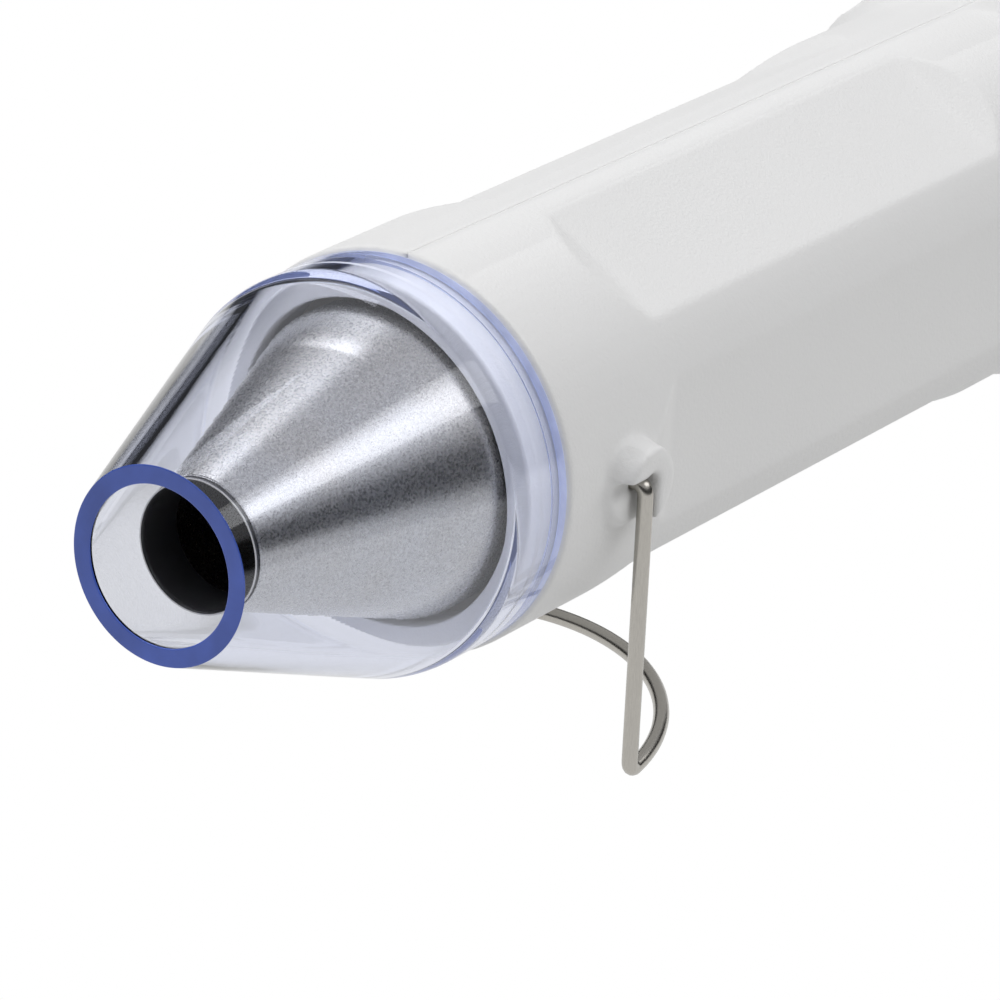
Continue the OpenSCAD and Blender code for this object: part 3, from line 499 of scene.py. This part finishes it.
class HEATTOOL_OT_stage(Operator):
    """Sets the camera, the pale floor and the soft studio light."""

    bl_idname = "heattool.stage"
    bl_label = "Stage"

    # Camera as fitted to the photograph, in millimetres from the guard's mouth: forward, left, up
    camera_place = (500.456, 356.804, 265.125)
    camera_target = (-39.788, 15.543, -0.202)
    camera_roll_deg = 2.545
    lens, sensor = 234.84, 36
    nearest, farthest = 0.01, 100

    # The floor in metres: the sheet of paper that the glossy pieces mirror ends near the tool
    floor_half, floor_drop = 6.0, 0.0002
    paper_end, paper_gone = 0.30, 0.50
    paper_level, beyond_paper = 0.85, 0.05

    # Directions of the lights as the camera's place, distances and sizes in metres
    key_direction = (-0.264, 0.618, 0.738)
    key_distance = 1.2
    key_size = (1.5, 0.42)
    fill_direction = (0.1, -0.64, 0.76)
    fill_distance = 1.5
    fill_size = (1.2, 1.2)

    # Brightness of the sky from the horizon up, and its slight blue
    sky_stops = ((0.0, 0.02), (0.36, 0.04), (0.46, 0.46), (1.0, 0.64))
    sky_blue = 1.02

    def execute(self, context):
        self.set_camera(context)
        self.lay_floor()
        self.light(context)
        return {"FINISHED"}

    @staticmethod
    def from_mouth(place):
        forward, left, up = place
        return NOSE + (NOSEWARD * forward + LEFTWARD * left + TOPWARD * up) * MM

    def set_camera(self, context):
        place = self.from_mouth(self.camera_place)
        view = self.from_mouth(self.camera_target) - place
        turn = view.to_track_quat("-Z", "Y").to_matrix() @ Matrix.Rotation(
            math.radians(self.camera_roll_deg), 3, "Z")
        clear_selection()
        bpy.ops.object.camera_add(location=place, rotation=turn.to_euler())
        camera = context.object
        camera.name = "camera"
        camera.data.lens = self.lens
        camera.data.sensor_width = self.sensor
        camera.data.clip_start = self.nearest
        camera.data.clip_end = self.farthest
        context.scene.camera = camera

    def lay_floor(self):
        """A white floor, which throws up a share of its light and ends near the tool in reflections."""
        clear_selection()
        bpy.ops.mesh.primitive_plane_add(
            size=2 * self.floor_half, location=(NOSE.x, 0, -self.floor_drop))
        floor = bpy.context.object
        floor.name = "floor"
        surface = Surface("floor_white", (0.0, 0.0, 0.0), 1.0)
        surface.shader.inputs["Specular IOR Level"].default_value = 0.0
        surface.shader.inputs["Emission Color"].default_value = (1, 1, 1, 1)
        path = surface.node("ShaderNodeLightPath")
        away = surface.node("ShaderNodeVectorMath", operation="LENGTH")
        surface.link(surface.coordinates, away.inputs[0])
        mirrored = surface.span(
            away.outputs["Value"], self.paper_level, self.beyond_paper, self.paper_end, self.paper_gone)
        seen = surface.either(path.outputs["Is Camera Ray"], mirrored, 1.0)
        strength = surface.either(path.outputs["Is Diffuse Ray"], seen, settings().floor_strength)
        surface.link(strength, surface.shader.inputs["Emission Strength"])
        floor.data.materials.append(surface.material)

    def light(self, context):
        """A key light seen in reflections only, and two lights that only shade the surfaces."""
        key = self.softbox(
            "key_light", self.key_direction, self.key_distance, self.key_size, settings().key_power)
        key.visible_diffuse = False
        side = self.softbox(
            "side_light", self.key_direction, self.key_distance, self.key_size, settings().side_power)
        side.visible_glossy = False
        fill = self.softbox(
            "fill_light", self.fill_direction, self.fill_distance, self.fill_size, settings().fill_power)
        fill.visible_glossy = False
        self.surround(context)
        context.scene.view_settings.view_transform = "Standard"

    def surround(self, context):
        """A pale ceiling over a dark band at the horizon; the camera itself sees white."""
        world = bpy.data.worlds.new("studio")
        context.scene.world = world
        world.use_nodes = True
        tree = world.node_tree
        direction = tree.nodes.new("ShaderNodeTexCoord")
        parts = tree.nodes.new("ShaderNodeSeparateXYZ")
        ramp = tree.nodes.new("ShaderNodeValToRGB")
        elements = ramp.color_ramp.elements
        while len(elements) < len(self.sky_stops):
            elements.new(0.5)
        for element, (height, level) in zip(elements, self.sky_stops):
            element.position = height
            element.color = (level, level, level * self.sky_blue, 1)
        path = tree.nodes.new("ShaderNodeLightPath")
        white = tree.nodes.new("ShaderNodeBackground")
        mix = tree.nodes.new("ShaderNodeMixShader")
        sky = tree.nodes["Background"]
        sky.inputs["Strength"].default_value = settings().sky_strength
        white.inputs["Color"].default_value = (1, 1, 1, 1)
        links = tree.links
        links.new(direction.outputs["Generated"], parts.inputs["Vector"])
        links.new(parts.outputs["Z"], ramp.inputs["Fac"])
        links.new(ramp.outputs["Color"], sky.inputs["Color"])
        links.new(path.outputs["Is Camera Ray"], mix.inputs["Fac"])
        links.new(sky.outputs["Background"], mix.inputs[1])
        links.new(white.outputs["Background"], mix.inputs[2])
        links.new(mix.outputs["Shader"], tree.nodes["World Output"].inputs["Surface"])

    @staticmethod
    def softbox(name, direction, distance, size, power):
        """An area light whose length lies along the tool."""
        clear_selection()
        away = (NOSEWARD * direction[0] + LEFTWARD * direction[1] + TOPWARD * direction[2]).normalized()
        across = away.cross(NOSEWARD).normalized()
        along = across.cross(away)
        turn = Matrix((along, across, away)).transposed().to_euler()
        bpy.ops.object.light_add(type="AREA", location=away * distance, rotation=turn)
        lamp = bpy.context.object
        lamp.name = name
        lamp.data.shape = "RECTANGLE"
        lamp.data.size, lamp.data.size_y = size
        lamp.data.energy = power
        return lamp


class HEATTOOL_OT_shells(Operator):
    """Moulds the two body shells and the rear cap with soft edges, and the neck under the guard."""

    bl_idname = "heattool.shells"
    bl_label = "Body shells"

    neck_r, neck_inside_r = 20.3, 18.7
    neck_front, body_front = 36.5, 42.0
    bulkhead_back, bulkhead_r = 38.5, 18.1
    neck_sunk = 1.5

    def execute(self, context):
        white = moulded_white()
        for node, name in (("left_shell", "body_left"), ("right_shell", "body_right")):
            piece = benched(node, name)
            bpy.ops.mesh.select_all(action="SELECT")
            bpy.ops.mesh.bisect(
                plane_co=(0, 0, self.body_front * MM), plane_no=(0, 0, 1), use_fill=True,
                clear_inner=True)
            dress(moulded(piece), white, "housing", "body_white", node)
        dress(moulded(benched("rear_cap", "cap")), white, "housing", "body_white", "rear_cap")
        neck = turned("neck", profile(
            (self.bulkhead_r, self.neck_front, 0.2), (self.neck_r, self.neck_front, 0.4),
            (self.neck_r, self.body_front + self.neck_sunk, 0),
            (self.neck_inside_r, self.body_front + self.neck_sunk, 0),
            (self.neck_inside_r, self.bulkhead_back, 0), (self.bulkhead_r, self.bulkhead_back, 0)))
        dress(laid_down(neck), white, "housing", "body_white")
        return {"FINISHED"}


class HEATTOOL_OT_guard(Operator):
    """Turns the clear guard, with tinted faces at its two cut ends that glow with painted light."""

    bl_idname = "heattool.guard"
    bl_label = "Nozzle guard"

    mouth_r, wall, cone_len = 10.9, 2.1, 33.0
    skirt_r, back, fillet = 22.6, 41.9, 6.0
    mouth_land, edge = 0.5, 0.15
    groove_front, groove_back, groove_depth = 38.35, 40.15, 0.35
    rim_glow_colour = (0.60, 0.66, 0.90)
    turn_steps, smooth_deg = 256, 20

    def execute(self, context):
        slope = math.atan((self.skirt_r - self.mouth_r) / self.cone_len)
        side_wall = self.wall / math.cos(slope)
        inside_r = self.skirt_r - self.wall
        inner_corner = (inside_r - self.mouth_r + side_wall) / math.tan(slope)
        mouth_inside_r = self.mouth_r - side_wall + self.mouth_land * math.tan(slope)
        guard = turned("guard", profile(
            (mouth_inside_r, 0, self.edge), (self.mouth_r, 0, self.edge),
            (self.skirt_r, self.cone_len, self.fillet), (self.skirt_r, self.back, self.edge),
            (inside_r, self.back, self.edge),
            (inside_r, self.groove_back + self.groove_depth, 0),
            (inside_r + self.groove_depth, self.groove_back, 0),
            (inside_r + self.groove_depth, self.groove_front, 0),
            (inside_r, self.groove_front - self.groove_depth, 0),
            (inside_r, inner_corner, self.fillet - self.wall), (mouth_inside_r, self.mouth_land, 0)),
            steps=self.turn_steps)
        guard = laid_down(guard, self.smooth_deg)
        dress(guard, clear_tinted(), "housing", "guard_clear", "nozzle_guard")
        guard.data.materials.append(painted_glow_edge("guard_edge_painted_glow", settings().edge_glow_colour))
        guard.data.materials.append(painted_glow_edge("guard_rim_painted_glow", self.rim_glow_colour))
        # The faces of both cut ends get the painted glow: the mouth face and the back face.
        for face in guard.data.polygons:
            behind = (NOSE - face.center).dot(NOSEWARD) / MM
            if behind < self.edge:
                face.material_index = 1
            elif behind > self.back - self.edge:
                face.material_index = 2
        return {"FINISHED"}


class HEATTOOL_OT_nozzle(Operator):
    """Turns the steel nozzle, its black outlet tip and the tip's thin steel rim."""

    bl_idname = "heattool.nozzle"
    bl_label = "Nozzle and tip"

    tip_r, tip_inside_r, tip_front, tip_back = 7.2, 6.7, 6.5, 12.4
    throat, throat_back, throat_r, sheet = 7.0, 7.3, 7.35, 0.12
    corner, back, outer_r, shoulder = 36.3, 52.3, 17.2, 6.0
    flange, flange_r, flare_r = 0.5, 7.9, 7.0
    rim_inside_r, rim_r, rim_half = 7.08, 7.23, 0.05

    def execute(self, context):
        slope = math.atan((self.outer_r - self.throat_r) / (self.corner - self.throat_back))
        shift = self.sheet * math.tan(slope / 2)
        cone = turned("nozzle", profile(
            (self.throat_r - self.sheet, self.throat, 0), (self.throat_r, self.throat, 0.05),
            (self.throat_r, self.throat_back, 0.3), (self.outer_r, self.corner, self.shoulder),
            (self.outer_r, self.back, 0), (self.outer_r - self.sheet, self.back, 0),
            (self.outer_r - self.sheet, self.corner + shift, self.shoulder - self.sheet),
            (self.throat_r - self.sheet, self.throat_back + shift, 0.2)))
        dress(laid_down(cone), drawn_steel(), "housing", "nozzle_steel", "nozzle_cone")
        tip = turned("tip", profile(
            (self.flare_r, self.tip_front, 0.04), (self.tip_r, self.tip_front, 0.04),
            (self.tip_r, self.tip_back - self.flange, 0.1),
            (self.flange_r, self.tip_back - self.flange, 0.15), (self.flange_r, self.tip_back, 0.15),
            (self.tip_inside_r, self.tip_back, 0.2), (self.tip_inside_r, self.throat, 0)))
        black = plastic("tip_black", (0.022, 0.022, 0.023), 0.36, size=0.3 * MM, depth=0.01 * MM)
        dress(laid_down(tip), black, "housing", "tip_black", "nozzle_tip")
        front, back = self.tip_front - self.rim_half, self.tip_front + self.rim_half
        rim = turned("tip_rim", profile(
            (self.rim_inside_r, front, 0), (self.rim_r, front, 0),
            (self.rim_r, back, 0), (self.rim_inside_r, back, 0)))
        # The rim wears the plain steel that came with the solid, which had the name first
        plain_steel = bpy.data.materials["nozzle_steel"]
        dress(laid_down(rim), plain_steel, "housing", "nozzle_steel")
        return {"FINISHED"}


class HEATTOOL_OT_stand(Operator):
    """Bends the wire stand from one round wire."""

    bl_idname = "heattool.stand"
    bl_label = "Wire stand"

    wire_r, bend_r = 0.9, 1.2
    leg_y, leg_len, pin_end = 25.0, 34.5, 20.7
    lean_deg, foot_turn_deg, toe_deg = 2.7, 94.6, 5.0
    arc_steps = 64

    def execute(self, context):
        route = self.half_route()
        mirrored = [Vector((p.x, -p.y, p.z)) for p in reversed(route)]
        wire = drawn_line("stand", [self.hung(point) for point in route + mirrored], closed=False)
        bpy.ops.object.mode_set(mode="OBJECT")
        bpy.ops.object.convert(target="CURVE")
        wire.data.bevel_depth = self.wire_r * MM
        wire.data.bevel_resolution = 6
        wire.data.use_fill_caps = True
        bpy.ops.object.convert(target="MESH")
        bpy.ops.object.mode_set(mode="EDIT")
        closed_up()
        steel = metal("stand_steel", settings().wire_colour, 0.24, brush=(4.0, 4.0, 0.4), size=0.4 * MM)
        dress(laid_down(wire, 40), steel, "stand", "stand_steel", "stand_wire")
        return {"FINISHED"}

    def half_route(self):
        """The wire's middle line on one side, from the pin to the middle of the arc, in millimetres
        below the pivot: x points up the leg, y to the left and z to the tail."""
        turn = math.radians(self.foot_turn_deg)
        toe = math.radians(self.toe_deg)
        bend = math.acos(math.cos(turn) * math.cos(toe))
        run = self.bend_r * math.tan(bend / 2)
        arc_r = (self.leg_y - run * math.sin(toe)) / math.cos(toe)
        tailward = Matrix.Rotation(turn - math.pi / 2, 3, "Y") @ Vector((0, 0, 1))
        foot = Vector((-self.leg_len, self.leg_y, 0))
        start = foot + (tailward * math.cos(toe) - Vector((0, 1, 0)) * math.sin(toe)) * run
        centre = Vector((start.x, 0, start.z)) - tailward * arc_r * math.sin(toe)
        line = rounded([
            (Vector((0, self.pin_end, 0)), 0), (Vector((0, self.leg_y, 0)), self.bend_r),
            (foot, self.bend_r), (start + (start - foot), 0)], closed=False)[:-1]
        for step in range(1, self.arc_steps // 2 + 1):
            angle = toe + (math.pi / 2 - toe) * step / (self.arc_steps // 2)
            outward = Vector((0, 1, 0)) * math.cos(angle) + tailward * math.sin(angle)
            line.append(centre + arc_r * outward)
        return line

    def hung(self, point):
        """A point of the route, leant back and hung from the pivot, on the bench in metres."""
        leant = Matrix.Rotation(math.radians(self.lean_deg), 3, "Y") @ point
        return leant * MM + Vector((0, 0, STAND_PIVOT.z))


class HEATTOOL_OT_switch(Operator):
    """Moulds the rocker switch and prints its marks."""

    bl_idname = "heattool.switch"
    bl_label = "Switch"

    edge, rocker_edge = 0.22, 0.4
    half_len, top, dip = 7.8, 4.2, 2.6
    mark_share, mark_height, mark_half_depth = 0.56, 4.6, 0.05

    def execute(self, context):
        housing = edges_broken("switch_body", "switch_housing", self.edge * MM)
        black = plastic("switch_black", (0.018, 0.018, 0.02), 0.42)
        dress(housing, black, "housing", "switch_black", "switch_body")
        rocker = edges_broken("switch_rocker", "rocker", self.rocker_edge * MM)
        satin = plastic("rocker_black", (0.02, 0.02, 0.022), 0.3, depth=0.008 * MM)
        dress(rocker, satin, "rocker", "rocker_black", "switch_rocker")
        white = plastic("mark_white", (0.75, 0.75, 0.73), 0.5, size=0.2 * MM, depth=0.004 * MM)
        for name, letter, side in (("mark_on", "I", -1), ("mark_off", "O", 1)):
            dress(self.mark(name, letter, side), white, "rocker", "rocker_black")
        return {"FINISHED"}

    def mark(self, name, letter, side):
        """A printed mark on the slope of one end of the rocker, -1 at the nose and 1 at the tail."""
        clear_selection()
        bpy.ops.object.text_add(location=(0, 0, 0))
        mark = bpy.context.object
        mark.name = name
        mark.data.body = letter
        mark.data.align_x = "CENTER"
        mark.data.align_y = "CENTER"
        mark.data.size = self.mark_height * MM
        mark.data.extrude = self.mark_half_depth * MM
        bpy.ops.object.convert(target="MESH")
        bpy.ops.object.mode_set(mode="EDIT")
        closed_up()
        slope = Vector((self.top - self.dip, 0, side * self.half_len))
        centre = (Vector((self.dip, 0, 0)) + slope * self.mark_share) * MM
        out = Vector((self.half_len, 0, side * (self.dip - self.top))).normalized()
        across = Vector((0, 1, 0))
        lying = Matrix((across, out.cross(across), out)).transposed().to_4x4()
        rest = Matrix.Rotation(-math.radians(ROCKER_REST_DEG), 4, "Y")
        mark.matrix_world = (
            Matrix.Translation(ROCKER_PIVOT) @ rest @ Matrix.Translation(centre) @ lying)
        return laid_down(mark)


class HEATTOOL_OT_rear(Operator):
    """Turns the cord gland and breaks the edges of the screws."""

    bl_idname = "heattool.rear"
    bl_label = "Gland and screws"

    bore, inside_r, flange_r = 3.4, 5.2, 6.8
    flange_front, groove_front, groove_back, back = 231.05, 232.65, 235.0, 236.6
    turn_steps, screw_edge = 96, 0.12

    def execute(self, context):
        gland = turned("gland", profile(
            (self.bore, self.flange_front, 0.3), (self.flange_r, self.flange_front, 0.3),
            (self.flange_r, self.groove_front, 0.2), (self.inside_r, self.groove_front, 0),
            (self.inside_r, self.groove_back, 0), (self.flange_r, self.groove_back, 0.2),
            (self.flange_r, self.back, 0.8), (self.bore, self.back, 0.6)), steps=self.turn_steps)
        rubber = plastic("gland_rubber", (0.016, 0.016, 0.017), 0.6, size=0.3 * MM)
        dress(laid_down(gland), rubber, "housing", "gland_rubber", "cord_gland")
        screws = edges_broken("shell_screws", "screws", self.screw_edge * MM)
        steel = metal("screw_steel", (0.60, 0.60, 0.58), 0.3)
        dress(screws, steel, "housing", "screw_steel", "shell_screws")
        return {"FINISHED"}


class HEATTOOL_OT_inside(Operator):
    """Gives the solids that stay as they are their finishes."""

    bl_idname = "heattool.inside"
    bl_label = "Other pieces"

    def execute(self, context):
        finishes = inner_materials()
        slots = {row["node"]: row["material_slot"] for row in frame["record"]["subparts"]}
        for node, piece in frame["nodes"].items():
            finish = finishes.get(slots[node])
            if finish:
                for material_slot in piece.material_slots:
                    material_slot.material = finish
        return {"FINISHED"}


class HEATTOOL_PT_panel(Panel):
    """Lists the steps that build the tool."""

    bl_label = "Heat Tool"
    bl_idname = "HEATTOOL_PT_panel"
    bl_space_type = "VIEW_3D"
    bl_region_type = "UI"
    bl_category = "Heat Tool"

    def draw(self, context):
        for name in HeatToolSettings.__annotations__:
            self.layout.prop(context.scene.heat_tool, name)
        for step in STEPS:
            self.layout.operator(step.bl_idname)


STEPS = (
    HEATTOOL_OT_stage,
    HEATTOOL_OT_shells,
    HEATTOOL_OT_guard,
    HEATTOOL_OT_nozzle,
    HEATTOOL_OT_stand,
    HEATTOOL_OT_switch,
    HEATTOOL_OT_rear,
    HEATTOOL_OT_inside,
)
CLASSES = (HeatToolSettings, *STEPS, HEATTOOL_PT_panel)


def register():
    for each in CLASSES:
        bpy.utils.register_class(each)
    bpy.types.Scene.heat_tool = PointerProperty(type=HeatToolSettings)


def unregister():
    del bpy.types.Scene.heat_tool
    for each in reversed(CLASSES):
        bpy.utils.unregister_class(each)


def main():
    register()
    bpy.ops.heattool.stage()
    bpy.ops.heattool.shells()
    bpy.ops.heattool.guard()
    bpy.ops.heattool.nozzle()
    bpy.ops.heattool.stand()
    bpy.ops.heattool.switch()
    bpy.ops.heattool.rear()
    bpy.ops.heattool.inside()


if __name__ == "__main__":
    main()
